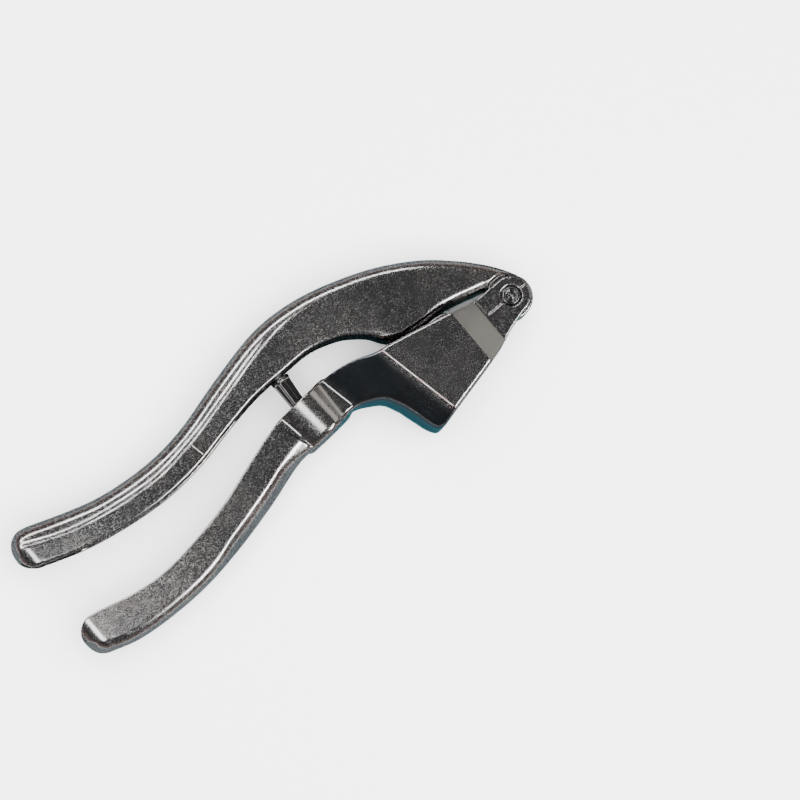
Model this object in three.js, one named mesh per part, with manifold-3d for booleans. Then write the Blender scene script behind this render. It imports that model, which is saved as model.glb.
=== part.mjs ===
// Garlic press with a cherry and olive pitter between its handles.
//
// Two plated castings turn on one rivet at the head. The lower one carries the hopper with its sieve and,
// behind it, the pitting cup. The upper one carries the plunger, which swings on its own pin, and the
// ribbed punch that enters the cup. The press lies on its side: +X runs from the handles' tails to the
// head, +Y from the lower handle to the upper one, and +Z along the rivet. Everything is built about the
// rivet's axis (x = 0, y = 0) and the plane of symmetry (z = 0), with the handles a little open, and the
// finished group is then moved so that its origin is the centre of its footprint. All sizes are in mm.

import * as THREE from "three";
import { mergeVertices } from "three/addons/utils/BufferGeometryUtils.js";
import Module from "manifold-3d";

const wasm = await Module();
wasm.setup();

// ---------------------------------------------------------------- driving dimensions

const LENGTH = 178; // from the tails to the rounded head
const GAP = 0.3; // between two pieces that touch
const RUNNING_FIT = 0.08; // around each pin in its hole
const DEGREE = Math.PI / 180;

const HEAD_RADIUS = 7.3; // round end of the upper handle's tongue, about the rivet
const TONGUE_HALF = 5.7; // half the tongue's thickness
const NECK_X = -64; // from here to the tails the grips stretch with the length
const NECK_HALF = 8; // half the lower casting's width there
const GRIP_END = -164.5; // where the grips' outlines end before they are stretched
const TAIL_LENGTH = 6.5; // length over which each tail rounds off
const TAIL_HALF = 8.6; // half the width of both handles near their tails
const CHANNEL_WALL = 2.6; // wall left beside the channels in the handles' inner faces
const CHANNEL_DEPTH = 5; // depth of the channels
const CHANNEL_END = 7; // length over which each channel's end rounds off

const PIVOT_RADIUS = 2.2; // rivet shank
const RIVET_HEAD_RADIUS = 2.8;
const RIVET_HEAD_HEIGHT = 1.5;
const EAR_RADIUS = 6.2; // round end of the lower handle's two ears
const CHEEK_GAP = 1.4; // between the ears' round ends and the upper handle's body
const EAR_THICK = 4.5;
const EAR_STEP = 1.2; // the upper half of each ear is thinner by this much
const EAR_ROOT = 10.6; // distance from the rivet to where the ears meet the hopper
const RIVET_SEAT = 2.1; // depth of the round seat of each rivet head in its ear

const HOPPER_HALF = 15; // half the outside width of the hopper
const WALL = 2.2; // hopper side wall
const SLOPE = 7.8; // length of the shoulder between the ears and the hopper's full width
const FLARE_X = -36; // from here to the neck the hopper narrows
const FRONT_X = -42.4; // the outside of the hopper's front wall, at its underside
const HOPPER_REAR = 16.5; // inside radius of the hopper's rear wall, about the rivet
const HOPPER_FRONT = 44.4; // inside radius of its front wall, about the rivet
const FRONT_CORNER = 5; // corner radii of the hopper's inside, seen from above
const REAR_CORNER = 5;
const FLOOR_TILT = 13.8 * DEGREE; // angle of the hopper's underside to X
const FLOOR_DROP = 7.2; // distance from the rivet's axis to the underside
const LEDGE = 1.6; // thickness of the ledge that holds the sieve
const LEDGE_WIDTH = 1.8;
const SIEVE_THICK = 1;
const SIEVE_HOLE_RADIUS = 0.95;
const SIEVE_PITCH = 3.1;

const REST_OPEN = 6 * DEGREE; // how far the handles stand open from closed
const SWING_RATIO = 0.12; // plunger swing for each degree that the handle opens
const PLUNGER_FIT = 0.6; // clearance of the plunger in the hopper
const PLUNGER_REAR_FIT = 1.7; // and at its rear, where it swings back as the press opens
const PLUNGER_LIFT = 0.8; // what stays between plunger and sieve when the press is closed
const PLUNGER_THICK = 6;
const PLUNGER_PIN = new THREE.Vector2(-29.5, 6.5); // centre of the plunger's pin
const PLUNGER_PIN_RADIUS = 1.6;
const LUG_HALF = 4.7; // half the thickness of the lug that the plunger hangs from
const LUG_RADIUS = 4.2;
const PLUNGER_EAR_THICK = 4;

const CUP_X = -72.4; // centre of the pitting cup's rim
const CUP_RIM_Y = 17.4;
const CUP_TILT = 4 * DEGREE; // lean of the cup's outside; the bore itself is upright
const CUP_RADIUS = 10.6; // outside, at the rim
const CUP_WALL = 2;
const CUP_DEPTH = 14.6; // from the rim to the underside
const CUP_DRAFT = 0.24; // how much the cup narrows for each mm of depth
const PIT_HOLE_RADIUS = 3.8;

const PUNCH_X = -71.6;
const PUNCH_GAP = 0.45; // between the punch and the handle's curved underside
const PUNCH_TILT = 3 * DEGREE;
const PUNCH_LENGTH = 16.2;
const PUNCH_ROOT_WIDTH = 6;
const PUNCH_TIP_WIDTH = 4.3;
const PUNCH_RIB = 1.9;
const SPIGOT_RADIUS = 1.9; // round end of the punch, seated in the upper handle
const SPIGOT_LENGTH = 5;

// ---------------------------------------------------------------- sizes that follow from them

const TAIL_X = HEAD_RADIUS - LENGTH;
const EAR_INNER = TONGUE_HALF + GAP;
const EAR_OUTER = EAR_INNER + EAR_THICK;
const HOPPER_INNER = HOPPER_HALF - WALL;
const SIEVE_BASE = -FLOOR_DROP + LEDGE + GAP; // heights above the rivet, along the floor's normal
const SIEVE_TOP = SIEVE_BASE + SIEVE_THICK;
const PLUNGER_FACE = SIEVE_TOP + PLUNGER_LIFT;
const PLUNGER_EAR_INNER = LUG_HALF + GAP;
const PLUNGER_EAR_OUTER = PLUNGER_EAR_INNER + PLUNGER_EAR_THICK;
const GRIP_STRETCH = (TAIL_X + TAIL_LENGTH - NECK_X) / (GRIP_END - NECK_X);

// ---------------------------------------------------------------- finishes

const plated = (color, roughness) => new THREE.MeshStandardMaterial({ color, roughness, metalness: 1 });
const CASTING = plated(0x6a6b6c, 0.28);
const SIEVE_STEEL = plated(0xb4b6b8, 0.3);
const PIN_STEEL = plated(0x9a9c9e, 0.22);
const PUNCH_METAL = plated(0x5c5e60, 0.32);

// ---------------------------------------------------------------- solids

// A closed three.js geometry as a manifold-3d solid.
function solid(geometry) {
  const bare = geometry.clone();
  bare.deleteAttribute("normal");
  bare.deleteAttribute("uv");
  const merged = mergeVertices(bare, 1e-4);
  return new wasm.Manifold(
    new wasm.Mesh({
      numProp: 3,
      vertProperties: merged.attributes.position.array,
      triVerts: new Uint32Array(merged.index.array),
    }),
  );
}

// A manifold-3d solid as a named three.js mesh.
function mesh(name, body, material) {
  const { numProp, numVert, vertProperties, triVerts } = body.getMesh();
  const positions = new Float32Array(numVert * 3);
  for (let i = 0; i < numVert; i++) {
    const start = i * numProp;
    positions.set(vertProperties.subarray(start, start + 3), i * 3);
  }
  const geometry = new THREE.BufferGeometry();
  geometry.setAttribute("position", new THREE.BufferAttribute(positions, 3));
  geometry.setIndex(new THREE.BufferAttribute(new Uint32Array(triVerts), 1));
  const made = new THREE.Mesh(geometry, material);
  made.name = name;
  return made;
}

// A box between two corners.
function box(low, high) {
  const size = high.map((v, i) => v - low[i]);
  return solid(new THREE.BoxGeometry(...size).translate(...low.map((v, i) => v + size[i] / 2)));
}

// A round bar along Z.
function bar(x, y, radius, low, high, sides = 40) {
  const made = new THREE.CylinderGeometry(radius, radius, high - low, sides);
  return solid(made.rotateX(Math.PI / 2).translate(x, y, (low + high) / 2));
}

// A flat outline in the XY plane, pushed from z = low to z = high.
function plate(points, low, high) {
  const shape = new THREE.Shape(points.map(([x, y]) => new THREE.Vector2(x, y)));
  const made = new THREE.ExtrudeGeometry(shape, { depth: high - low, bevelEnabled: false });
  return solid(made.translate(0, 0, low));
}

// A body turned about Z, from [radius, height] points that start and end on the axis or close on themselves.
function turned(profile, sides) {
  const points = profile.map(([r, z]) => new THREE.Vector2(Math.max(r, 0), z));
  return solid(new THREE.LatheGeometry(points, sides).rotateX(Math.PI / 2));
}

// A cut or an addition on both sides of the plane of symmetry.
function bothSides(body) {
  return body.add(body.mirror([0, 0, 1]));
}

// ---------------------------------------------------------------- outlines

const clamp = (v, low, high) => Math.min(Math.max(v, low), high);

// A smooth curve y(x) through points that are in order of x.
function through(points) {
  const last = points.length - 1;
  const slope = (i) => {
    const [before, after] = [points[Math.max(i - 1, 0)], points[Math.min(i + 1, last)]];
    return (after[1] - before[1]) / (after[0] - before[0]);
  };
  return (x) => {
    let i = 0;
    while (i < last - 1 && x > points[i + 1][0]) i++;
    const [[x0, y0], [x1, y1]] = [points[i], points[i + 1]];
    const span = x1 - x0;
    const t = clamp((x - x0) / span, 0, 1);
    const [a, b] = [slope(i) * span, slope(i + 1) * span];
    return (
      y0 * (1 + 2 * t) * (1 - t) ** 2 + a * t * (1 - t) ** 2 + y1 * t * t * (3 - 2 * t) + b * t * t * (t - 1)
    );
  };
}

// Places along a grip stretch with the handles; from the cup to the head they stay where they are.
const along = (x) => (x > NECK_X ? x : (x - NECK_X) * GRIP_STRETCH + NECK_X);
const grip = (points) => through(points.map(([x, y]) => [along(x), y]));

// How much of its full size a tail has at x: 1 along the grip, 0 at its tip.
const tail = (x) => Math.sqrt(1 - clamp((TAIL_X + TAIL_LENGTH - x) / TAIL_LENGTH, 0, 1) ** 2);

const upperTop = grip([
  [GRIP_END, 42.6],
  [-150, 37.6],
  [-136, 34.2],
  [-120, 33],
  [-106, 34.5],
  [-88, 39.3],
  [-72, 42.9],
  [-62, 43.6],
  [-50, 42.2],
  [-38, 38.8],
  [-26, 34],
  [-14, 26.9],
  [-5, 19],
  [1, 12.3],
  [4.2, 7.6],
]);
const upperBottom = grip([
  [GRIP_END, 29.4],
  [-150, 24.6],
  [-136, 21.9],
  [-122, 20.9],
  [-108, 22],
  [-92, 25.3],
  [-80, 27.2],
  [-68, 27.5],
  [-59, 27.4],
  [-50, 24.8],
  [-45.4, 22],
  [-41.8, 19.1],
  [-39, 15.5],
  [-35.5, 12.9],
  [-30, 12.3],
  [-20, 13.2],
  [-14, 11],
  [-7.5, 7.8],
  [-4, 6.7],
  [4.2, 1],
]);
const upperHalf = grip([
  [GRIP_END, TAIL_HALF],
  [-130, TAIL_HALF - 0.4],
  [-100, 7.6],
  [-60, 8.4],
  [-35, 9.2],
  [4.2, 8.6],
]);

const rimLine = (x) => 6.2 - (x + 10) * 0.222; // the hopper's rim
const floorLine = (x) => x * Math.tan(FLOOR_TILT) - FLOOR_DROP / Math.cos(FLOOR_TILT);
const lowerTop = grip([
  [GRIP_END, 8.2],
  [-150, 4.7],
  [-138, 3.6],
  [-124, 5],
  [-110, 7.9],
  [-97, 12],
  [-86, 15.4],
  [-80, 16.6],
  [-64, 17.7],
  [-57, 17.4],
  [-50, 15.9],
  [-44, rimLine(-43)],
  [-38, rimLine(-38)],
  [-16, rimLine(-16)],
  [-EAR_ROOT, rimLine(-10)],
  [-6, 5.9],
  [0, 5.8],
]);
const lowerBottom = grip([
  [GRIP_END, -4.9],
  [-156, -7.4],
  [-144, -8.4],
  [-130, -8],
  [-114, -5.5],
  [-98, -1.6],
  [-84, 2.6],
  [-76, 3.4],
  [-65, 4.2],
  [-60, 4.2],
  [-55.4, 2.1],
  [-51.8, -0.6],
  [-49.6, -5],
  [-48.2, -9.5],
  [-47, -13.6],
  [-46, -16],
  [-44.6, -17.7],
  [-42.4, floorLine(-42.4)],
  [-39, floorLine(-39)],
  [-14, floorLine(-14)],
  [-7, -8.2],
  [0, -EAR_RADIUS],
]);

// Half the lower casting's width: the grip, the neck that widens to the hopper, and the shoulder that runs
// straight down to the ears.
function lowerHalf(x) {
  if (x > -EAR_ROOT) return EAR_OUTER;
  const rise = clamp((-EAR_ROOT - x) / SLOPE, 0, 1);
  if (x > FRONT_X) return THREE.MathUtils.lerp(EAR_OUTER, HOPPER_HALF, rise);
  const neck = THREE.MathUtils.smoothstep(-x, -FLARE_X, -NECK_X);
  const gripHalf = THREE.MathUtils.lerp(NECK_HALF, TAIL_HALF, clamp((x - NECK_X) / (TAIL_X - NECK_X), 0, 1));
  return THREE.MathUtils.lerp(HOPPER_HALF, gripHalf, neck);
}

// ---------------------------------------------------------------- lofted castings

// The closed ring of one cross-section, [y, z] points counter-clockwise seen from +X. The side is flat from
// the lower round up to the ridge, and leans in by "lean" from there to the upper round.
function ring({ bottom, top, half, lowRound, highRound, ridge = 0.5, lean = 0 }) {
  const height = top - bottom;
  const limit = Math.min(height * 0.48, half * 0.9);
  const [low, high] = [Math.min(lowRound, limit), Math.min(highRound, limit)];
  const leant = Math.max(half - lean, high);
  const quarter = [0, 1, 2, 3].map((i) => (i * Math.PI) / 6);
  const side = [
    [bottom, 0],
    ...quarter.map((a) => [bottom + low * (1 - Math.cos(a)), half - low * (1 - Math.sin(a))]),
    [clamp(bottom + ridge * height, bottom + low * 1.01, top - high * 1.01), half],
    ...quarter.map((a) => [top - high * (1 - Math.sin(a)), leant - high * (1 - Math.cos(a))]),
    [top, 0],
  ];
  const mirrored = side.slice(1, -1).reverse();
  return [...side, ...mirrored.map(([y, z]) => [y, -z])];
}

// A solid through cross-sections at rising x; a section may lean by an angle about its own middle.
function loft(stations) {
  const rings = stations.map((s) => {
    const middle = (s.bottom + s.top) / 2;
    const angle = s.turn ?? 0;
    return ring(s).map(([y, z]) => {
      const reach = y - middle;
      return new THREE.Vector3(s.x - reach * Math.sin(angle), middle + reach * Math.cos(angle), z);
    });
  });
  const n = rings[0].length;
  const positions = rings.flat().flatMap((p) => [p.x, p.y, p.z]);
  const faces = [];
  for (let i = 0; i < rings.length - 1; i++)
    for (let j = 0; j < n; j++) {
      const [a, b] = [i * n + j, i * n + ((j + 1) % n)];
      faces.push(a, b, a + n, b, b + n, a + n);
    }
  const end = (rings.length - 1) * n;
  for (let j = 1; j < n - 1; j++) faces.push(0, j + 1, j, end, end + j, end + j + 1);
  const geometry = new THREE.BufferGeometry();
  geometry.setAttribute("position", new THREE.Float32BufferAttribute(positions, 3));
  geometry.setIndex(faces);
  const made = solid(geometry);
  return made.volume() < 0 ? solid(geometry.setIndex(faces.reverse())) : made;
}

// Places for cross-sections: close together round the tail's tip, then every "step" up to "end".
function places(step, end, extra = []) {
  const tip = [0.02, 0.15, 0.4, 0.7].map((t) => TAIL_X + TAIL_LENGTH * t);
  const start = TAIL_X + TAIL_LENGTH;
  const count = Math.round((end - start) / step);
  const run = Array.from({ length: count + 1 }, (_, i) => start + ((end - start) * i) / count);
  const all = [...tip, ...run, ...extra].sort((a, b) => a - b);
  return all.filter((x, i) => i === 0 || x - all[i - 1] > 0.35);
}

// One cross-section of a handle; towards the tip of the tail it turns square to the handle and shrinks
// about its own middle.
function section(x, bottom, top, half, rounds) {
  const middle = (at) => (bottom(at) + top(at)) / 2;
  const reach = ((top(x) - bottom(x)) / 2) * tail(x);
  const square = 1 - THREE.MathUtils.smoothstep(x, TAIL_X + 2 * TAIL_LENGTH, TAIL_X + 5 * TAIL_LENGTH);
  return {
    x,
    bottom: middle(x) - reach,
    top: middle(x) + reach,
    half: half(x) * (0.35 + 0.65 * tail(x)),
    turn: Math.atan(middle(x + 1) - middle(x)) * square,
    ...rounds(x),
  };
}

// ---------------------------------------------------------------- the hopper's inside

// The space that the plunger sweeps, shared by the lower handle, the sieve and the plunger: a rounded
// rectangle turned about the rivet's axis, smaller by "inset".
function swept(inset, rearInset = inset) {
  const [r0, r1] = [HOPPER_REAR + rearInset, HOPPER_FRONT - inset];
  const half = HOPPER_INNER - inset;
  const corner = (r, z, radius, from) =>
    [0, 1, 2, 3, 4].map((i) => {
      const a = from + (i * Math.PI) / 8;
      return [r + radius * Math.cos(a), z + radius * Math.sin(a)];
    });
  const [front, rear] = [FRONT_CORNER - inset, REAR_CORNER];
  const profile = [
    ...corner(r1 - front, -half + front, front, -Math.PI / 2),
    ...corner(r1 - front, half - front, front, 0),
    ...corner(r0 + rear, half - rear, rear, Math.PI / 2),
    ...corner(r0 + rear, -half + rear, rear, Math.PI),
  ];
  return turned([...profile, profile[0]], 96);
}

// A slab parallel to the hopper's underside, between two heights above the rivet.
function slab(low, high) {
  const made = new THREE.BoxGeometry(90, high - low, 60);
  return solid(made.translate(-30, (low + high) / 2, 0).rotateZ(FLOOR_TILT));
}

// ---------------------------------------------------------------- lower casting

// The pitting cup, outside and inside, stood on its axis.
function placedCup(profile, tilt, sides) {
  const made = new THREE.LatheGeometry(
    profile.map(([r, y]) => new THREE.Vector2(r, y)),
    sides,
  );
  return solid(made.rotateZ(tilt).translate(CUP_X, CUP_RIM_Y, 0));
}

function cupOutside() {
  const foot = CUP_DEPTH * 0.8;
  return placedCup(
    [
      [0, -CUP_DEPTH],
      [PIT_HOLE_RADIUS + 1.2, -CUP_DEPTH],
      [CUP_RADIUS - foot * CUP_DRAFT - 1, -CUP_DEPTH + 1.2],
      [CUP_RADIUS - foot * CUP_DRAFT, -foot],
      [CUP_RADIUS, -0.8],
      [CUP_RADIUS - 0.6, 0],
      [0, 0],
    ],
    CUP_TILT,
    48,
  );
}

function cupInside() {
  const bowl = CUP_RADIUS - CUP_WALL;
  return placedCup(
    [
      [0, -CUP_DEPTH - 2],
      [PIT_HOLE_RADIUS, -CUP_DEPTH - 2],
      [PIT_HOLE_RADIUS, -CUP_DEPTH + 2.4],
      [PIT_HOLE_RADIUS + 1.6, -CUP_DEPTH + 3.2],
      [bowl * 0.83, -CUP_DEPTH * 0.55],
      [bowl * 0.95, -CUP_DEPTH * 0.25],
      [bowl, 0],
      [bowl + 0.4, 2],
      [0, 2],
    ],
    0,
    40,
  );
}

// The channel in a handle's inner face between two places, with round ends and round lower edges.
function channel(from, to, bottom, top, half) {
  const steps = [0.01, 0.06, 0.16, 0.32, 0.6, 1].map((t) => CHANNEL_END * t);
  const [start, end] = [from + CHANNEL_END, to - CHANNEL_END];
  const count = 10;
  const run = Array.from({ length: count - 1 }, (_, i) => start + ((end - start) * (i + 1)) / count);
  const all = [...steps.map((d) => from + d), ...run, ...steps.map((d) => to - d).reverse()];
  const stations = all.map((x) => {
    const rest = clamp(1 - Math.min(x - from, to - x) / CHANNEL_END, 0, 1);
    const width = half(x) * Math.sqrt(1 - rest * rest);
    return { x, bottom: bottom(x), top: top(x), half: width, lowRound: 1.2, highRound: 1.2 };
  });
  return loft(stations);
}

function lowerHandle() {
  const shoulder = [0.02, 0.5, 1].map((t) => -EAR_ROOT - SLOPE * t);
  const front = [-1.8, 0, 1.1, 2.2, 3.2, 4.2, 5.8, 7.6].map((d) => FRONT_X - d);
  const ends = [...shoulder, ...front];
  const stations = places(4.4, 0, ends).map((x) =>
    section(x, lowerBottom, lowerTop, lowerHalf, (at) => ({
      lowRound: THREE.MathUtils.lerp(1.6, 4.6, clamp((FRONT_X - at) / 6, 0, 1)),
      highRound: 0.8,
      ridge: 0.6,
    })),
  );
  const hollow = channel(
    along(-156),
    along(-92),
    (x) => lowerTop(x) - CHANNEL_DEPTH,
    (x) => lowerTop(x) + 3,
    (x) => lowerHalf(x) - CHANNEL_WALL,
  );
  const ears = bar(0, 0, EAR_RADIUS, -EAR_OUTER, EAR_OUTER, 48);
  const reach = HEAD_RADIUS + 0.5;
  const roundTongue = bar(0, 0, reach, -EAR_INNER, EAR_INNER, 48);
  const tongueGap = box([-1, -30, -EAR_INNER], [30, 30, EAR_INNER]).add(roundTongue);
  const underTongue = box([-reach * 0.6, -30, -EAR_INNER], [0, 0, EAR_INNER]);
  const step = box([-EAR_ROOT + 1, 0, EAR_OUTER - EAR_STEP], [30, 30, 40]);
  const seat = bar(0, 0, RIVET_HEAD_RADIUS + 0.5, EAR_OUTER - RIVET_SEAT, 40, 40);
  const outlet = swept(LEDGE_WIDTH).intersect(slab(-30, 0));
  return loft(stations)
    .add(ears)
    .add(cupOutside())
    .subtract(cupInside())
    .subtract(hollow)
    .subtract(swept(0).intersect(slab(-FLOOR_DROP + LEDGE, 60)))
    .subtract(outlet)
    .subtract(tongueGap)
    .subtract(underTongue)
    .subtract(bothSides(step))
    .subtract(bothSides(seat))
    .subtract(bar(0, 0, PIVOT_RADIUS + RUNNING_FIT, -40, 40, 36));
}

// ---------------------------------------------------------------- sieve

function sieve() {
  const holes = [];
  const middle = -(HOPPER_REAR + HOPPER_FRONT) / 2;
  for (let row = -4; row <= 4; row++)
    for (let column = -3; column <= 3; column++) {
      const shift = row % 2 ? SIEVE_PITCH / 2 : 0;
      const [u, z] = [middle + row * SIEVE_PITCH * 0.87, column * SIEVE_PITCH + shift - SIEVE_PITCH / 4];
      if (Math.abs(z) > HOPPER_INNER - LEDGE_WIDTH - 1.8) continue;
      const hole = new THREE.CylinderGeometry(SIEVE_HOLE_RADIUS, SIEVE_HOLE_RADIUS, 6, 8);
      holes.push(solid(hole.translate(u, (SIEVE_BASE + SIEVE_TOP) / 2, z).rotateZ(FLOOR_TILT)));
    }
  return swept(GAP)
    .intersect(slab(SIEVE_BASE, SIEVE_TOP))
    .intersect(box([-80, -40, -40], [0, 0, 40]))
    .subtract(wasm.Manifold.union(holes));
}

// ---------------------------------------------------------------- upper casting

function upperHandle() {
  const stations = places(4.4, 4.2, [-48, -46, -43.5, -41, -39.3, -37.5, -12, -6, -3.5]).map((x) =>
    section(x, upperBottom, upperTop, upperHalf, (at) => {
      const facet = THREE.MathUtils.smoothstep(-at, 58, 84);
      return {
        lowRound: 2,
        highRound: THREE.MathUtils.lerp(4.8, 3.2, facet),
        ridge: THREE.MathUtils.lerp(0.62, 0.5, facet),
        lean: 2.2 * facet,
      };
    }),
  );
  const hollow = channel(
    along(-156),
    along(-86),
    (x) => upperBottom(x) - 3,
    (x) => upperBottom(x) + CHANNEL_DEPTH,
    (x) => upperHalf(x) - CHANNEL_WALL,
  );
  const tongue = bar(0, 0, HEAD_RADIUS, -TONGUE_HALF, TONGUE_HALF, 64);
  const cheeks = bar(0, 0, EAR_RADIUS + CHEEK_GAP, TONGUE_HALF, 40, 48);
  const lug = plate(lugOutline(), -LUG_HALF, LUG_HALF);
  const socket = punchRod(SPIGOT_RADIUS + GAP, SPIGOT_RADIUS + GAP, -SPIGOT_LENGTH, SPIGOT_LENGTH + GAP);
  return loft(stations)
    .add(tongue)
    .add(lug)
    .subtract(bothSides(cheeks))
    .subtract(hollow)
    .subtract(socket)
    .subtract(bar(0, 0, PIVOT_RADIUS + RUNNING_FIT, -40, 40, 36))
    .subtract(bar(PLUNGER_PIN.x, PLUNGER_PIN.y, PLUNGER_PIN_RADIUS + RUNNING_FIT, -40, 40, 28));
}

// The lug's outline: round about the plunger's pin, and spreading into the handle's belly above.
function lugOutline() {
  const { x, y } = PLUNGER_PIN;
  const arc = Array.from({ length: 13 }, (_, i) => Math.PI + (i * Math.PI) / 12);
  const round = arc.map((a) => [x + LUG_RADIUS * Math.cos(a), y + LUG_RADIUS * Math.sin(a)]);
  return [...round, [x + LUG_RADIUS + 0.6, y + 10], [x - LUG_RADIUS - 1.5, y + 10]];
}

// ---------------------------------------------------------------- punch

// The punch's own geometry, which stands on y = 0 and points down, moved to its root under the handle.
function placedPunch(geometry) {
  return solid(geometry.rotateZ(-PUNCH_TILT).translate(PUNCH_X, upperBottom(PUNCH_X), 0));
}

// A round rod along the punch's own axis, between two heights.
function punchRod(topRadius, bottomRadius, low, high) {
  const made = new THREE.CylinderGeometry(topRadius, bottomRadius, high - low, 32);
  return placedPunch(made.translate(0, (low + high) / 2, 0));
}

// A cross of four ribs, narrowing to a tip with a shallow hollow, on a round collar and spigot.
function punch() {
  const arms = (width) => {
    const [r, t] = [width / 2, PUNCH_RIB / 2];
    const arm = [
      [r, -t],
      [r, t],
      [t, t],
    ];
    return [0, 1, 2, 3].flatMap((i) =>
      arm.map(([a, b]) => [
        a * Math.cos((i * Math.PI) / 2) - b * Math.sin((i * Math.PI) / 2),
        a * Math.sin((i * Math.PI) / 2) + b * Math.cos((i * Math.PI) / 2),
      ]),
    );
  };
  const levels = [
    [-PUNCH_GAP, PUNCH_ROOT_WIDTH],
    [-PUNCH_LENGTH * 0.55, THREE.MathUtils.lerp(PUNCH_ROOT_WIDTH, PUNCH_TIP_WIDTH, 0.62)],
    [-PUNCH_LENGTH + 0.7, PUNCH_TIP_WIDTH],
    [-PUNCH_LENGTH, PUNCH_TIP_WIDTH - 0.8],
  ];
  const rings = levels.map(([y, width]) => arms(width).map(([x, z]) => [x, y, z]));
  const n = rings[0].length;
  const faces = [];
  for (let i = 0; i < rings.length - 1; i++)
    for (let j = 0; j < n; j++) {
      const [a, b] = [i * n + j, i * n + ((j + 1) % n)];
      faces.push(a, a + n, b, b, a + n, b + n);
    }
  const centres = [rings.length * n, rings.length * n + 1];
  const end = (rings.length - 1) * n;
  for (let j = 0; j < n; j++) {
    const k = (j + 1) % n;
    faces.push(centres[0], j, k, centres[1], end + k, end + j);
  }
  const tipHollow = 0.5;
  const middles = [
    [0, -PUNCH_GAP, 0],
    [0, -PUNCH_LENGTH + tipHollow, 0],
  ];
  const geometry = new THREE.BufferGeometry();
  const positions = [...rings.flat(2), ...middles.flat()];
  geometry.setAttribute("position", new THREE.Float32BufferAttribute(positions, 3));
  geometry.setIndex(faces);
  const inward = solid(geometry).volume() < 0;
  const ribs = placedPunch(inward ? geometry.setIndex(faces.reverse()) : geometry);
  const collarRadius = PUNCH_ROOT_WIDTH / 2 + 0.4;
  const collar = punchRod(collarRadius, collarRadius - 0.5, -PUNCH_GAP - 1.2, -PUNCH_GAP - 0.2);
  const spigot = punchRod(SPIGOT_RADIUS, SPIGOT_RADIUS, -PUNCH_GAP - 0.6, SPIGOT_LENGTH);
  return ribs.add(collar).add(spigot);
}

// ---------------------------------------------------------------- plunger

// From the closed press to the pose it is shown in: the plunger turns with the handle about the rivet, and
// swings back a little about its own pin.
function atRest(body) {
  const swing = (REST_OPEN * SWING_RATIO) / DEGREE;
  const turned = body.rotate([0, 0, -REST_OPEN / DEGREE]);
  return turned
    .translate([-PLUNGER_PIN.x, -PLUNGER_PIN.y, 0])
    .rotate([0, 0, swing])
    .translate([PLUNGER_PIN.x, PLUNGER_PIN.y, 0]);
}

// The plunger's side view when the press is closed, along and square to the hopper's underside: it rises
// from the pressing plate to a round boss about the pin and runs back over a lower hump.
function plungerOutline(pin) {
  const u = pin.x * Math.cos(FLOOR_TILT) + pin.y * Math.sin(FLOOR_TILT);
  const n = pin.y * Math.cos(FLOOR_TILT) - pin.x * Math.sin(FLOOR_TILT);
  const boss = LUG_RADIUS - 0.2;
  const base = PLUNGER_FACE + PLUNGER_THICK - 1;
  const arc = Array.from({ length: 9 }, (_, i) => Math.PI * (1 - (i * 0.7) / 8));
  return [
    [u - boss - 2.5, base],
    [-HOPPER_REAR, base],
    [-HOPPER_REAR, n - 1],
    [-HOPPER_REAR - 0.9, n + 0.6],
    [-HOPPER_REAR - 2.4, n + 1.6],
    [-HOPPER_REAR - 4.4, n + 2.3],
    [-HOPPER_REAR - 6, n + 2.7],
    ...arc.reverse().map((a) => [u + boss * Math.cos(a), n + boss * Math.sin(a)]),
  ];
}

function plunger() {
  const pin = PLUNGER_PIN.clone().rotateAround(new THREE.Vector2(), REST_OPEN);
  const room = swept(PLUNGER_FIT, PLUNGER_REAR_FIT);
  const head = room.intersect(slab(PLUNGER_FACE, PLUNGER_FACE + PLUNGER_THICK));
  const front = head.intersect(box([-80, -40, -40], [-8, 40, 40]));
  const onFloor = ([u, n]) => [
    u * Math.cos(FLOOR_TILT) - n * Math.sin(FLOOR_TILT),
    u * Math.sin(FLOOR_TILT) + n * Math.cos(FLOOR_TILT),
  ];
  const outline = plungerOutline(pin).map(onFloor);
  const lugRoom = [pin.x + LUG_RADIUS + 2.2, 40, PLUNGER_EAR_INNER];
  const slot = box([-80, -40, -PLUNGER_EAR_INNER], lugRoom);
  const raised = plate(outline, -PLUNGER_EAR_OUTER, PLUNGER_EAR_OUTER);
  const back = raised.subtract(slot).intersect(room);
  const hole = bar(pin.x, pin.y, PLUNGER_PIN_RADIUS + RUNNING_FIT, -40, 40, 28);
  return atRest(front.add(back).subtract(hole));
}

// ---------------------------------------------------------------- pins

// The rivet: its shank, and at each end a low domed head with a small centre hollow.
function rivet() {
  const shank = EAR_OUTER - RIVET_SEAT + GAP;
  const top = shank + RIVET_HEAD_HEIGHT;
  const end = [
    [PIVOT_RADIUS, shank],
    [RIVET_HEAD_RADIUS, shank],
    [RIVET_HEAD_RADIUS, top - 0.6],
    [RIVET_HEAD_RADIUS - 0.5, top - 0.1],
    [1.5, top],
    [1.2, top - 0.25],
    [0.8, top - 0.25],
    [0.5, top],
    [0, top - 0.3],
  ];
  const start = end.map(([r, z]) => [r, -z]).reverse();
  return turned([...start, ...end], 28);
}

function plungerPin() {
  const end = PLUNGER_EAR_OUTER;
  const body = turned(
    [
      [0, -end],
      [PLUNGER_PIN_RADIUS - 0.3, -end],
      [PLUNGER_PIN_RADIUS, -end + 0.3],
      [PLUNGER_PIN_RADIUS, end - 0.3],
      [PLUNGER_PIN_RADIUS - 0.3, end],
      [0, end],
    ],
    28,
  );
  return body.translate([PLUNGER_PIN.x, PLUNGER_PIN.y, 0]);
}

// ---------------------------------------------------------------- the press

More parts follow.
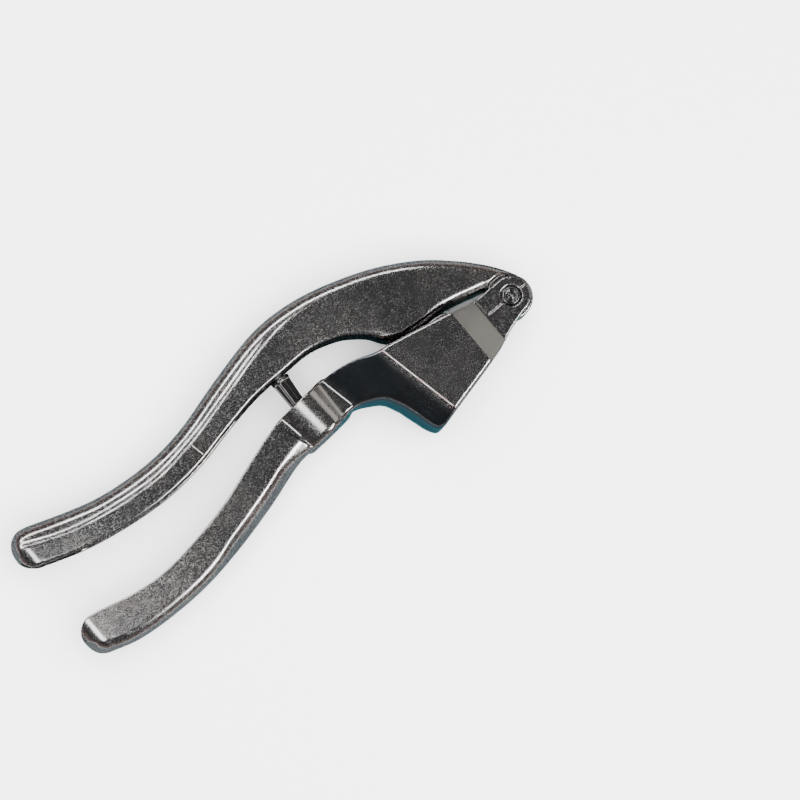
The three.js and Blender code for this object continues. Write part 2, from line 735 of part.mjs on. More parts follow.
const press = new THREE.Group();
press.add(
  mesh("lower_handle", lowerHandle(), CASTING),
  mesh("sieve_plate", sieve(), SIEVE_STEEL),
  mesh("pivot_rivet", rivet(), PIN_STEEL),
  mesh("upper_handle", upperHandle(), CASTING),
  mesh("pitting_punch", punch(), PUNCH_METAL),
  mesh("plunger", plunger(), CASTING),
  mesh("plunger_pin", plungerPin(), PIN_STEEL),
);
const extent = new THREE.Box3().setFromObject(press, true);
const middle = extent.getCenter(new THREE.Vector3());
press.position.set(-middle.x, -middle.y, -extent.min.z);

export default press;
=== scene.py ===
"""A garlic press with a pitter between its handles, lying on its side: two plated castings on one rivet,
with a swinging plunger, a perforated plate and a ribbed punch."""

import math

import bmesh
import bpy
import numpy as np
from mathutils import Matrix, Vector, kdtree


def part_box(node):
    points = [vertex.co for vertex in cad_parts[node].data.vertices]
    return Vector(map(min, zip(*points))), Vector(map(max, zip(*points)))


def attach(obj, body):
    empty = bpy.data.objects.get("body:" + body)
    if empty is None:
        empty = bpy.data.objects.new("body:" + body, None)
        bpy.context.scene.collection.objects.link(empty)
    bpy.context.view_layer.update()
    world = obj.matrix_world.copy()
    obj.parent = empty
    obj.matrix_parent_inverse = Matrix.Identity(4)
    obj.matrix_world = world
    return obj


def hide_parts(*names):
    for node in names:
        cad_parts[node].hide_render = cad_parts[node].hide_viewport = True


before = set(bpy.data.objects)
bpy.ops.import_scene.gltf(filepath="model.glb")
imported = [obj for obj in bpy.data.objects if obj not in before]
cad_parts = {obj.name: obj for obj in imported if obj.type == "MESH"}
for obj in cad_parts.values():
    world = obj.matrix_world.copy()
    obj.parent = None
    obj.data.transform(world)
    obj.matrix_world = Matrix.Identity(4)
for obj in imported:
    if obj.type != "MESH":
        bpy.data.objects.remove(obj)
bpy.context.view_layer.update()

# ---------------------------------------------------------------- lower handle
# One zinc casting, plated bright over a dark ground: the lower grip, the pitting cup, the flared neck, the
# hopper and the two ears that take the rivet. The die leaves soft rounds outside, a crisp rim above, and
# satin shoulders where the ears were dressed, with a painted sheen that is lightest toward the bottom. It is
# the piece that everything else hangs on.

rivet_low, rivet_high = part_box("pivot_rivet")
PIVOT = (rivet_low + rivet_high) / 2  # all pieces are drawn in mm about the middle of the rivet
MM = 0.001
TAIL_X = -170.55
TAIL_LENGTH = 6.5
STRETCH = (TAIL_X + TAIL_LENGTH + 64) / (-164.5 + 64)
TURN_SQUARE = (TAIL_X + 2 * TAIL_LENGTH, TAIL_X + 5 * TAIL_LENGTH)


def blend(x, low, high):
    """0 below low and 1 above high, with a smooth run between them."""
    t = np.clip((x - low) / (high - low), 0, 1)
    return t * t * (3 - 2 * t)


def through(points):
    """A smooth curve y(x) through points in order of x."""
    xs, ys = np.array(points, float).T
    xs = np.where(xs < -64, (xs + 64) * STRETCH - 64, xs)
    slopes = np.gradient(ys, xs)
    slopes[1:-1] = (ys[2:] - ys[:-2]) / (xs[2:] - xs[:-2])

    def curve(x):
        i = np.clip(np.searchsorted(xs, x) - 1, 0, len(xs) - 2)
        span = xs[i + 1] - xs[i]
        t = np.clip((x - xs[i]) / span, 0, 1)
        start = ys[i] * (1 + 2 * t) * (1 - t) ** 2 + slopes[i] * span * t * (1 - t) ** 2
        return start + ys[i + 1] * t * t * (3 - 2 * t) + slopes[i + 1] * span * t * t * (t - 1)

    return curve


def side_view(bottom, top, end):
    """The closed outline of a handle between two curves, with its tail rounded square to its length."""
    tail = TAIL_X + TAIL_LENGTH * np.linspace(0, 1, 40) ** 2
    x = np.concatenate([tail, np.arange(TAIL_X + TAIL_LENGTH, end, 0.3), [end]])
    t = np.clip((TAIL_X + TAIL_LENGTH - x) / TAIL_LENGTH, 0, 1)
    middle = (bottom(x) + top(x)) / 2
    reach = (top(x) - bottom(x)) / 2 * np.sqrt(1 - t * t)
    turn = np.arctan(np.gradient(middle, x + np.arange(len(x)) * 1e-9)) * (1 - blend(x, *TURN_SQUARE))
    upper = np.stack([x - reach * np.sin(turn), middle + reach * np.cos(turn)], 1)
    lower = np.stack([x + reach * np.sin(turn), middle - reach * np.cos(turn)], 1)
    return np.concatenate([lower, upper[::-1]])


def flat_distance(outline, step=0.25, margin=3.0):
    """The distance to a closed outline in mm, below 0 inside it, as a function of x and y."""
    ends = np.roll(outline, -1, 0)
    counts = np.maximum(1, np.ceil(np.hypot(*(ends - outline).T) / 0.3)).astype(int)
    runs = [a + (b - a) * (np.arange(n) / n)[:, None] for a, b, n in zip(outline, ends, counts)]
    fine = np.concatenate(runs)
    low, high = fine.min(0) - margin, fine.max(0) + margin
    nx, ny = np.ceil((high - low) / step).astype(int) + 1
    gx, gy = low[0] + np.arange(nx) * step, low[1] + np.arange(ny) * step
    tree = kdtree.KDTree(len(fine))
    for i, (a, b) in enumerate(fine):
        tree.insert((a, b, 0), i)
    tree.balance()
    near = np.array([[tree.find((a, b, 0))[1] for b in gy] for a in gx])
    points = np.stack(np.meshgrid(gx, gy, indexing="ij"), -1)
    reach = np.full((nx, ny), 1e9)
    for shift in (-1, 0):
        a = fine[(near + shift) % len(fine)]
        b = fine[(near + shift + 1) % len(fine)]
        along = np.sum((points - a) * (b - a), -1) / np.maximum(np.sum((b - a) ** 2, -1), 1e-12)
        foot = a + (b - a) * np.clip(along, 0, 1)[..., None]
        reach = np.minimum(reach, np.hypot(*np.moveaxis(points - foot, -1, 0)))
    after = np.roll(fine, -1, 0)
    for i, x in enumerate(gx):
        crossed = (fine[:, 0] > x) != (after[:, 0] > x)
        a, b = fine[crossed], after[crossed]
        levels = np.sort(a[:, 1] + (x - a[:, 0]) / (b[:, 0] - a[:, 0]) * (b[:, 1] - a[:, 1]))
        reach[i] *= np.where(np.searchsorted(levels, gy) % 2 == 1, -1, 1)

    def distance(x, y):
        u, v = (x - low[0]) / step, (y - low[1]) / step
        i, j = np.clip(np.floor(u), 0, nx - 2).astype(int), np.clip(np.floor(v), 0, ny - 2).astype(int)
        s, t = np.clip(u - i, 0, 1), np.clip(v - j, 0, 1)
        below = reach[i, j] * (1 - s) + reach[i + 1, j] * s
        return below * (1 - t) + (reach[i, j + 1] * (1 - s) + reach[i + 1, j + 1] * s) * t

    return distance


def both(a, b, r):
    """What is inside both shapes, with an edge of radius r."""
    return np.minimum(np.maximum(a, b), -r) + np.hypot(np.maximum(a + r, 0), np.maximum(b + r, 0))


def either(a, b, r):
    """Two shapes joined, with a fillet of radius r."""
    return -both(-a, -b, r)


def cut(a, b, r):
    """Shape a without shape b, with an edge of radius r."""
    return both(a, -b, r)


def cast(name, field, low, high, step):
    """A closed mesh of everywhere that field(x, y, z) is below 0, between two corners in mm."""
    axes = [np.arange(a, b + step, step) for a, b in zip(low, high)]
    values = field(axes[0][:, None, None], axes[1][None, :, None], axes[2][None, None, :])
    inside = values < 0
    filled = np.zeros([n - 1 for n in inside.shape], np.int8)
    for i, j, k in np.ndindex(2, 2, 2):
        filled += inside[i:, j:, k:][: filled.shape[0], : filled.shape[1], : filled.shape[2]]
    cells = np.argwhere((filled > 0) & (filled < 8))
    number = np.full(filled.shape, -1)
    number[tuple(cells.T)] = np.arange(len(cells))
    total, crossings = np.zeros((len(cells), 3)), np.zeros(len(cells))
    for axis in range(3):
        across = [a for a in range(3) if a != axis]
        for p in (0, 1):
            for q in (0, 1):
                start = np.zeros(3, int)
                start[across[0]], start[across[1]] = p, q
                end = start.copy()
                end[axis] = 1
                a, b = values[tuple((cells + start).T)], values[tuple((cells + end).T)]
                hit = (a < 0) != (b < 0)
                along_edge = np.tile(start.astype(float), (len(cells), 1))
                along_edge[:, axis] = np.where(hit, a / np.where(hit, a - b, 1), 0)
                total += along_edge * hit[:, None]
                crossings += hit
    points = np.array([a[0] for a in axes]) + (cells + total / crossings[:, None]) * step
    faces = []
    for axis in range(3):
        u, v = [(axis + 1) % 3, (axis + 2) % 3]
        before = np.take(inside, range(inside.shape[axis] - 1), axis)
        after = np.take(inside, range(1, inside.shape[axis]), axis)
        edges = np.argwhere(before != after)
        out = before[tuple(edges.T)]
        ring = []
        for du, dv in ((-1, -1), (0, -1), (0, 0), (-1, 0)):
            cell = edges.copy()
            cell[:, u] += du
            cell[:, v] += dv
            ring.append(number[tuple(cell.T)])
        ring = np.stack(ring, 1)
        ring[~out] = ring[~out, ::-1]
        faces.append(ring)
    faces = np.concatenate(faces)
    normals = np.zeros_like(points)
    for _ in range(3):
        here = field(*points.T)
        for axis in range(3):
            moved = points.copy()
            moved[:, axis] += 0.03
            normals[:, axis] = (field(*moved.T) - here) / 0.03
        size = np.maximum(np.sum(normals**2, 1), 0.2)
        points -= normals * (np.clip(here, -step / 2, step / 2) / size)[:, None]
    mesh = bpy.data.meshes.new(name)
    mesh.vertices.add(len(points))
    mesh.vertices.foreach_set("co", (points * MM).astype(np.float32).ravel())
    mesh.loops.add(faces.size)
    mesh.loops.foreach_set("vertex_index", faces.ravel().astype(np.int32))
    mesh.polygons.add(len(faces))
    mesh.polygons.foreach_set("loop_start", np.arange(0, faces.size, 4, dtype=np.int32))
    mesh.update(calc_edges=True)
    mesh.shade_smooth()
    return mesh


def place(name, mesh, body, node, finish):
    """The finished piece on its CAD body, standing for its CAD node."""
    piece = bpy.data.objects.new(name, mesh)
    bpy.context.scene.collection.objects.link(piece)
    piece.location = PIVOT
    piece.data.materials.append(finish)
    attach(piece, body)
    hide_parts(node)
    return piece


EAR_RADIUS = 6.2
EAR_OUTER = 10.5
EAR_ROOT = -10.6  # x where the ears meet the shoulders
EAR_STEP_Z = 9.3  # the upper half of each ear is dressed down to here
RIVET_HOLE = 2.28
RIVET_SEAT = 3.35
SHOULDER_X = -18.4
HOPPER_HALF = 15.0
HOPPER_WIDE = 12.8  # half the hopper's inside width
HOPPER_MIDDLE, HOPPER_REACH = 30.45, 13.95  # the hopper's inside, measured from the rivet
GRIP_HALF = 8.0
NECK_HALF = 6.7
NECK_START, NECK_END = -61.0, -42.0
NECK_LEAN = 0.21
FLOOR_TILT = math.radians(13.8)
FLOOR_DROP = 7.2
CUP_X, CUP_Y = -71.6, 17.4
CUP_RADIUS = 10.5
CUP_DEPTH = 14.6
CUP_LEAN = math.radians(4)
CUP_DRAFT = 0.06
BORE_RADIUS = 8.4
BORE_DEPTH = 11.6
PIT_HOLE = 3.8
TONGUE_ROOM = 7.8  # clear radius for the upper handle's tongue between the ears


def rim(x):
    return 6.2 - (x + 10) * 0.222


def floor_line(x):
    return x * math.tan(FLOOR_TILT) - FLOOR_DROP / math.cos(FLOOR_TILT)


def above_floor(x, y):
    return y * math.cos(FLOOR_TILT) - x * math.sin(FLOOR_TILT)


lower_top = through([
    (-164.5, 8.2), (-150, 4.7), (-138, 3.6), (-124, 5), (-110, 7.9), (-97, 12), (-86, 15.4), (-80, 16.6),
    (-64, 17.7), (-57, 17.4), (-50, 15.9), (-44, rim(-43)), (-38, rim(-38)), (-16, rim(-16)),
    (EAR_ROOT, rim(-10)), (-6, 6.1), (0, 6.1),
])
lower_bottom = through([
    (-164.5, -4.9), (-156, -7.4), (-144, -8.4), (-130, -8), (-114, -5.5), (-98, -1.6), (-84, 2.6), (-76, 3.4),
    (-65, 4.2), (-60, 4.2), (-55.4, 2.1), (-51.8, -0.6), (-49.6, -5), (-48.2, -9.5), (-47, -13.6),
    (-46, -16), (-44.6, -17.7), (-42.4, floor_line(-42.4)), (-39, floor_line(-39)),
    (-14, floor_line(-14)), (-7, -8.2), (0, -6.2),
])
lower_bevel = through([
    (-171, -4), (-125, -4.4), (-114.8, -1.4), (-108.1, 0.3), (-96.2, 3.5), (-86, 6.6), (-79.8, 8),
    (-70, 9),
])
lower_side = flat_distance(side_view(lower_bottom, lower_top, 0.0))


def tail_width(x):
    t = np.clip((TAIL_X + TAIL_LENGTH - x) / TAIL_LENGTH, 0, 0.995)
    return 0.35 + 0.65 * np.sqrt(1 - t * t)


def lower_width(x, y):
    """Half the casting's width: grip, flared neck, flat hopper side, straight shoulder and ear."""
    lean = x + NECK_LEAN * (y - 12.4)
    spread = np.clip((lean - NECK_START) / (NECK_END - NECK_START), 0, 1)
    flare = NECK_HALF + (HOPPER_HALF - NECK_HALF) * spread
    grip = GRIP_HALF + 0.6 * np.clip((x + 64) / (TAIL_X + 64), 0, 1)
    grip = grip - (GRIP_HALF - NECK_HALF) * blend(x + 0.385 * (y - 15.5), -82.3, -81.5)
    bevel = 0.5 * np.logaddexp(0, (lower_bevel(x) - y) * 1.6) / 1.6
    bevel = bevel * blend(-x, 76, 79) * (1 - blend(-x, 112, 128))
    slope = np.clip((x - SHOULDER_X) / (EAR_ROOT - SHOULDER_X), 0, 1)
    wide = np.where(lean < NECK_START, grip, flare)
    wide = np.where(x > -30, HOPPER_HALF - (HOPPER_HALF - EAR_OUTER - 0.25) * slope, wide)
    wide = np.where(x > EAR_ROOT, EAR_OUTER, wide)
    return wide * tail_width(x) - bevel


def hopper_room(x, y, z, inset, corner):
    """The rounded space that the plunger sweeps about the rivet, smaller by inset."""
    ring = np.abs(np.hypot(x, y) - HOPPER_MIDDLE) - HOPPER_REACH
    return both(ring + inset, np.abs(z) - HOPPER_WIDE + inset, corner)


def cup_shape(x, y, z):
    """The cup's outside: a leaning drum with a flatter face and a rounded foot."""
    u = (x - CUP_X) * math.cos(CUP_LEAN) + (y - CUP_Y) * math.sin(CUP_LEAN)
    v = (y - CUP_Y) * math.cos(CUP_LEAN) - (x - CUP_X) * math.sin(CUP_LEAN)
    drum = np.hypot(u, z) - CUP_RADIUS - CUP_DRAFT * v
    face = np.hypot(u - 5.6, z + 13.2) - 24 - CUP_DRAFT * v
    return both(both(both(drum, face, 0.8), v, 0.4), -CUP_DEPTH - v, 2.6)


def cup_bore(x, y, z):
    """The cup's inside, with the hole that the pit is pushed out through."""
    reach = np.hypot(x - CUP_X, z)
    bowl = reach - BORE_RADIUS - 0.24 * np.minimum(y - CUP_Y, 0) * 0.55
    bowl = both(bowl, CUP_Y - BORE_DEPTH - y, 4.5)
    return np.minimum(bowl, reach - PIT_HOLE)


def lower_shape(x, y, z):
    z = np.abs(z)
    low = 1 - blend(y - (lower_top(x) + lower_bottom(x)) / 2, -1.5, 1.5)
    draft = 0.2 * np.maximum(z - 3, 0) * blend(-x, 41, 47) * (1 - blend(-x, 56, 66)) * low
    side = np.minimum(lower_side(x, y) + draft, np.hypot(x, y) - EAR_RADIUS)
    rim_round = 0.8 - 0.5 * blend(-x, 46, 50)
    round_ = rim_round + (1.5 + 2.9 * blend(-x, 78, 90) - rim_round) * low
    round_ = np.where(x > EAR_ROOT, 0.7, round_)
    body = both(side, z - lower_width(x, y), round_)
    body = either(body, cup_shape(x, y, z), 0.45 + 0.9 * blend(x, -70, -62))
    body = cut(body, cup_bore(x, y, z), 0.6)
    room = both(hopper_room(x, y, z, 0, 5), -FLOOR_DROP + 1.6 - above_floor(x, y), 0.4)
    room = np.minimum(room, hopper_room(x, y, z, 1.8, 3.2))
    body = cut(body, np.maximum(room, x + 4), 0.55)
    plan = both(np.abs(x + 124) - 32, z - lower_width(x, y) + 2.6, 5)
    body = cut(body, both(plan, lower_top(x) - 5 - y, 1.6), 0.5)
    gap = np.minimum(np.minimum(-1 - x, np.hypot(x, y) - TONGUE_ROOM), np.maximum(-4.5 - x, y))
    body = cut(body, both(gap, z - 6, 0.3), 0.3)
    body = cut(body, both(both(-9.6 - x, -y, 0.3), EAR_STEP_Z - z, 0.35), 0.3)
    body = cut(body, both(np.hypot(x, y) - RIVET_SEAT, 8.4 - z, 0.2), 0.25)
    return cut(body, np.hypot(x, y) - RIVET_HOLE, 0.2)


class Wire:
    """One shader value. Sums on it add Math nodes, and node() adds any other node."""

    def __init__(self, tree, socket=None):
        self.tree, self.socket = tree, socket

    def node(self, kind, settings=None, sockets=None, out=0):
        made = self.tree.nodes.new(kind)
        for key, value in (settings or {}).items():
            if key == "stops":
                ramp = made.color_ramp.elements
                while len(ramp) < len(value):
                    ramp.new(0.5)
                for element, (position, color) in zip(ramp, value):
                    element.position, element.color = position, color
            else:
                setattr(made, key, value)
        for key, value in (sockets or {}).items():
            if isinstance(value, Wire):
                self.tree.links.new(value.socket, made.inputs[key])
            else:
                made.inputs[key].default_value = value
        return Wire(self.tree, made.outputs[out]) if made.outputs else made

    def sum(self, operation, a, b):
        return self.node("ShaderNodeMath", {"operation": operation}, {0: a, 1: b})

    def __add__(self, other):
        return self.sum("ADD", self, other)

    def __radd__(self, other):
        return self.sum("ADD", other, self)

    def __sub__(self, other):
        return self.sum("SUBTRACT", self, other)

    def __rsub__(self, other):
        return self.sum("SUBTRACT", other, self)

    def __mul__(self, other):
        return self.sum("MULTIPLY", self, other)

    def __rmul__(self, other):
        return self.sum("MULTIPLY", other, self)

    def __abs__(self):
        return self.node("ShaderNodeMath", {"operation": "ABSOLUTE"}, {0: self})

    def clipped(self, low, high):
        """0 where the value is below low and 1 above high, smooth between them."""
        settings = {"interpolation_type": "SMOOTHSTEP"}
        return self.node("ShaderNodeMapRange", settings, {"Value": self, "From Min": low, "From Max": high})


def bare(made):
    """An empty shader tree for a material or the world."""
    made.use_nodes = True
    made.node_tree.nodes.clear()
    return Wire(made.node_tree)


def plating(name, ground, shine, speckle, satin_with_sheen=None, smooth_and_painted_dark=None, crease_reflection=None, seam=None):
    """Bright plate over a cast ground: fine bright grains, slow changes of tone, a soft orange peel, and
    optional painted reflections and sheen.
    """
    made = bpy.data.materials.new(name)
    start = bare(made)
    spot = start.node("ShaderNodeTexCoord", out="Object")
    mm = start.node("ShaderNodeVectorMath", {"operation": "SCALE"}, {0: spot, "Scale": 1000.0})
    x, y = (start.node("ShaderNodeSeparateXYZ", sockets={0: mm}, out=i) for i in (0, 1))

    def noise(scale, detail=2.0):
        return start.node("ShaderNodeTexNoise", sockets={"Vector": mm, "Scale": scale, "Detail": detail})

    def mixed(amount, a, b):
        return start.node("ShaderNodeMix", {"data_type": "RGBA"}, {"Factor": amount, "A": a, "B": b}, 2)

    cloud, patch, fine = noise(0.07), noise(0.5, 3.0), noise(3.4, 4.0)
    grains = (fine.clipped(0.44, 0.7) * (0.45 + patch.clipped(0.3, 0.7) * 0.35) + 0.06) * speckle
    soft = 0.0
    if smooth_and_painted_dark:
        grains = grains * (1 - smooth_and_painted_dark(x, y) * 0.8)
    if satin_with_sheen:
        soft = satin_with_sheen(x, y)
        grains = grains * (1 - soft)
    tone = mixed(cloud.clipped(0.35, 0.65), ground[0], ground[1])
    tone = mixed(noise(0.12).clipped(0.52, 0.7) * patch.clipped(0.3, 0.6) * 0.5, tone, (0.4, 0.26, 0.25, 1))
    # painted reflection: the neck's flare is tinted dark blue-grey
    if smooth_and_painted_dark:
        tone = mixed(smooth_and_painted_dark(x, y) * 0.85, tone, (0.13, 0.17, 0.2, 1))
    # painted reflection: a pinkish tint along the neck's crease
    if crease_reflection:
        tone = mixed(crease_reflection(x, y) * patch.clipped(0.3, 0.6), tone, (0.36, 0.24, 0.23, 1))
    tone = mixed(grains, tone, (0.97, 0.97, 0.96, 1))
    # painted sheen: the satin shoulders are tinted lighter, most toward the bottom
    if satin_with_sheen:
        tone = mixed(soft * (1 - y.clipped(-4, 10) * 0.75), tone, (0.6, 0.6, 0.56, 1))
    rough = shine + grains * 0.26 + cloud * 0.05 + soft * 0.34
    peel = (grains * 0.6 + patch * 0.25 * speckle) * (1 - soft)
    if seam:
        peel = peel + seam(x, y)
    bump = start.node("ShaderNodeBump", sockets={"Strength": 0.3, "Distance": 0.00003, "Height": peel})
    shader = start.node(
        "ShaderNodeBsdfPrincipled",
        sockets={"Base Color": tone, "Metallic": 1.0, "Roughness": rough, "Normal": bump},
    )
    start.node("ShaderNodeOutputMaterial", sockets={"Surface": shader})
    return made


CAST_GROUND = ((0.42, 0.415, 0.42, 1), (0.6, 0.57, 0.56, 1))


# The dressed shoulders: a satin, rougher plate, and a painted lighter sheen on its tone.
def shoulder_satin_and_sheen(x, y):
    return x.clipped(SHOULDER_X - 0.5, SHOULDER_X + 1.5) * (1 - x.clipped(EAR_ROOT - 0.05, EAR_ROOT + 0.05))


def neck_smooth_painted_dark(x, y):
    """The flare of the neck, where the plate is smooth and free of grains, and its tone is painted dark
    blue-grey as a painted reflection.
    """
    lean = x + y * NECK_LEAN - 2.6
    return lean.clipped(-63.5, -58) * (1 - lean.clipped(-45.5, -41.8))


def neck_crease_painted_reflection(x, y):
    """A painted pinkish reflection along the line where the flare meets the flat side of the hopper."""
    return 1 - abs(x + y * NECK_LEAN + 39.6).clipped(0.15, 0.8)


lower_finish = plating(
    "plate_lower", CAST_GROUND, 0.12, 1.0, satin_with_sheen=shoulder_satin_and_sheen, smooth_and_painted_dark=neck_smooth_painted_dark, crease_reflection=neck_crease_painted_reflection
)
lower_mesh = cast("lower_handle_cast", lower_shape, (-172, -18.6, -15.8), (7.2, 19.2, 15.8), 0.36)
place("lower_casting", lower_mesh, "lower", "lower_handle", lower_finish)

# ---------------------------------------------------------------- sieve plate
# A stamped steel plate that drops into the hopper and rests on its ledge. The garlic leaves through nine
# staggered rows of holes.

SIEVE_LOW, SIEVE_HIGH = -FLOOR_DROP + 1.9, -FLOOR_DROP + 2.9
SIEVE_HOLE = 0.95
SIEVE_PITCH = 3.1


def sieve_shape(u, n, z):
    x = u * math.cos(FLOOR_TILT) - n * math.sin(FLOOR_TILT)
    y = u * math.sin(FLOOR_TILT) + n * math.cos(FLOOR_TILT)
    shape = both(hopper_room(x, y, z, 0.3, 4.7), np.abs(n - (SIEVE_LOW + SIEVE_HIGH) / 2) - 0.5, 0.12)
    holes = np.full(np.broadcast(u, z).shape, 1e3)
    for row in range(-4, 5):
        for column in range(-3, 4):
            middle_z = column * SIEVE_PITCH + (SIEVE_PITCH / 2 if row % 2 else 0) - SIEVE_PITCH / 4
            if abs(middle_z) <= 9.2:
                middle_u = -HOPPER_MIDDLE + row * SIEVE_PITCH * 0.87
                holes = np.minimum(holes, np.hypot(u - middle_u, z - middle_z) - SIEVE_HOLE)
    return cut(shape, holes, 0.15)


def on_floor(mesh):
    """Stands a mesh that was drawn along the hopper's underside on that slope."""
    mesh.transform(Matrix.Rotation(FLOOR_TILT, 4, "Z"))
    return mesh


sieve_finish = plating("sieve_steel", ((0.56, 0.56, 0.57, 1), (0.62, 0.62, 0.62, 1)), 0.24, 0.3)
sieve_ends = (-45.5, SIEVE_LOW - 0.3, -13.2), (-15, SIEVE_HIGH + 0.3, 13.2)
sieve_mesh = cast("sieve_plate_stamped", sieve_shape, *sieve_ends, 0.22)
place("sieve", on_floor(sieve_mesh), "lower", "sieve_plate", sieve_finish)

# ---------------------------------------------------------------- upper handle
# The second casting: a tapering grip with a raised edge along its side, the thick belly that bears on the
# plunger, a lug for the plunger's pin, and the thin round tongue between the ears.

TONGUE_RADIUS = 7.25
TONGUE_HALF = 5.7
CHEEK_RADIUS = 7.6  # the full width stops here, to clear the ears
PIN_X, PIN_Y = -29.5, 6.5  # the plunger's pin
PIN_HOLE = 1.68
LUG_RADIUS = 4.2
LUG_HALF = 4.7
PUNCH_X, PUNCH_Y = -71.6, 27.5
PUNCH_TILT = math.radians(3)
PUNCH_SEAT = 2.2

upper_top = through([
    (-164.5, 42.6), (-150, 37.6), (-136, 34.2), (-120, 33), (-106, 34.5), (-88, 39.3), (-72, 42.9),
    (-62, 43.6), (-50, 42.2), (-38, 38.8), (-26, 34), (-14, 26.9), (-5, 19), (1, 12.3), (4.2, 7.7), (6.3, 4),
])
upper_bottom = through([
    (-164.5, 29.4), (-150, 24.6), (-136, 21.9), (-122, 20.9), (-108, 22), (-92, 25.3), (-80, 27.2),
    (-68, 27.5), (-59, 27.4), (-50, 24.8), (-45.4, 22), (-41.8, 18.8), (-39, 14.6), (-35.5, 11.9),
    (-30, 10.95), (-25, 10.5), (-20, 10.4), (-14, 9.4), (-7.5, 7.6), (-4, 6.5), (4.2, 1), (6.3, 0.4),
])
upper_half = through([(-164.5, 8.6), (-130, 8.2), (-100, 7.6), (-60, 8.4), (-35, 9.2), (4.2, 8.6)])
upper_ridge = through([
    (-171, 39.5), (-150, 31), (-123.8, 27), (-106, 28.7), (-88, 33), (-72, 37), (-59.5, 38.9), (-48, 37.4),
    (-36, 33.4), (-25, 28.6),
])
upper_side = flat_distance(side_view(upper_bottom, upper_top, 6.3))


def upper_shape(x, y, z):
    z = np.abs(z)
    high = blend(y - (upper_top(x) + upper_bottom(x)) / 2, -1.5, 1.5)
    over = y - upper_ridge(x)
    ridge = 0.06 * np.logaddexp(0, over * 4) / 4 + 0.11 * (1 + np.tanh(over / 0.4))
    ridge = ridge + 0.1 * (1 + np.tanh((over - 1.4) / 0.35)) * blend(-x, 62, 74)
    wide = upper_half(x) * tail_width(x) - ridge * blend(-x, 30, 62)
    round_ = 1.2 + 2 * blend(x, -44, -36) * (1 - high) + 2.6 * high
    body = both(upper_side(x, y) + 0.03, z - wide, round_)
    body = cut(body, both(np.hypot(x, y) - CHEEK_RADIUS, TONGUE_HALF - z, 0.3), 0.8)
    body = np.minimum(body, both(np.hypot(x, y) - TONGUE_RADIUS, z - TONGUE_HALF, 0.6))
    off_axis = np.hypot(x - PIN_X, np.minimum(y - PIN_Y, 0)) - LUG_RADIUS - 0.1 * np.clip(y - PIN_Y, 0, 9)
    lug = both(both(off_axis, y - PIN_Y - 9.5, 0.3), z - LUG_HALF, 0.6)
    body = either(body, lug, 0.8)
    plan = both(np.abs(x + 121) - 35, z - upper_half(x) + 2.6, 5)
    body = cut(body, both(plan, y - upper_bottom(x) - 5, 1.6), 0.5)
    seat_x = (x - PUNCH_X) + (y - PUNCH_Y) * math.tan(PUNCH_TILT)
    body = cut(body, both(np.hypot(seat_x, z) - PUNCH_SEAT, np.abs(y - 28.7) - 4.1, 0.2), 0.3)
    body = cut(body, np.hypot(x - PIN_X, y - PIN_Y) - PIN_HOLE, 0.2)
    return cut(body, np.hypot(x, y) - RIVET_HOLE, 0.2)


SEAM_X, SEAM_LEAN = -106.0, 0.21


def parting_mark(x, y):
    """The faint raised line that the die's slide leaves across the grip."""
    across = x + y * SEAM_LEAN - (SEAM_X + 30 * SEAM_LEAN)
    return (1 - abs(across).clipped(0.05, 0.3)) * 6


upper_finish = plating("plate_upper", CAST_GROUND, 0.12, 1.0, seam=parting_mark)
upper_mesh = cast("upper_handle_cast", upper_shape, (-172, -8, -9.8), (8, 44.8, 9.8), 0.4)
place("upper_casting", upper_mesh, "upper", "upper_handle", upper_finish)

# ---------------------------------------------------------------- pitting punch
# A die-cast cross of four ribs under the upper grip, set in the casting by a round spigot. It narrows to a
# flat tip that pushes the stone out through the hole in the cup.

PUNCH_LENGTH = 16.2
PUNCH_ROOT, PUNCH_TAPER = 3.0, 0.85  # half width of the ribs at the root, and what the tip loses of it
RIB_HALF = 0.95


def punch_shape(x, y, z):
    width = PUNCH_ROOT - PUNCH_TAPER * np.clip(-y / (PUNCH_LENGTH * 0.9), 0, 1)
    one = both(np.abs(x) - RIB_HALF, np.abs(z) - width, 0.3)
    other = both(np.abs(z) - RIB_HALF, np.abs(x) - width, 0.3)
    blade = both(both(either(one, other, 0.35), y + 0.45, 0.1), -PUNCH_LENGTH - y, 0.35)
    collar = both(np.hypot(x, z) - 3.2, np.abs(y + 1.1) - 0.45, 0.2)
    spigot = both(np.hypot(x, z) - 1.9, np.abs(y - 2.2) - 2.7, 0.2)
    return np.minimum(either(blade, collar, 0.3), spigot)


punch_finish = plating("plate_punch", ((0.2, 0.2, 0.21, 1), (0.3, 0.29, 0.29, 1)), 0.16, 0.15)
punch_mesh = cast("pitting_punch_cast", punch_shape, (-3.8, -16.8, -3.8), (3.8, 5.4, 3.8), 0.2)
punch_mesh.transform(
    Matrix.Translation((PUNCH_X * MM, PUNCH_Y * MM, 0)) @ Matrix.Rotation(-PUNCH_TILT, 4, "Z")
)
place("punch", punch_mesh, "upper", "pitting_punch", punch_finish)

# ---------------------------------------------------------------- plunger
# The cast pressing plate, which fills the hopper with a little play. Two ears and a round hump behind them
# carry it on the plunger's pin, so that it lies flat on the garlic as the handle comes down.

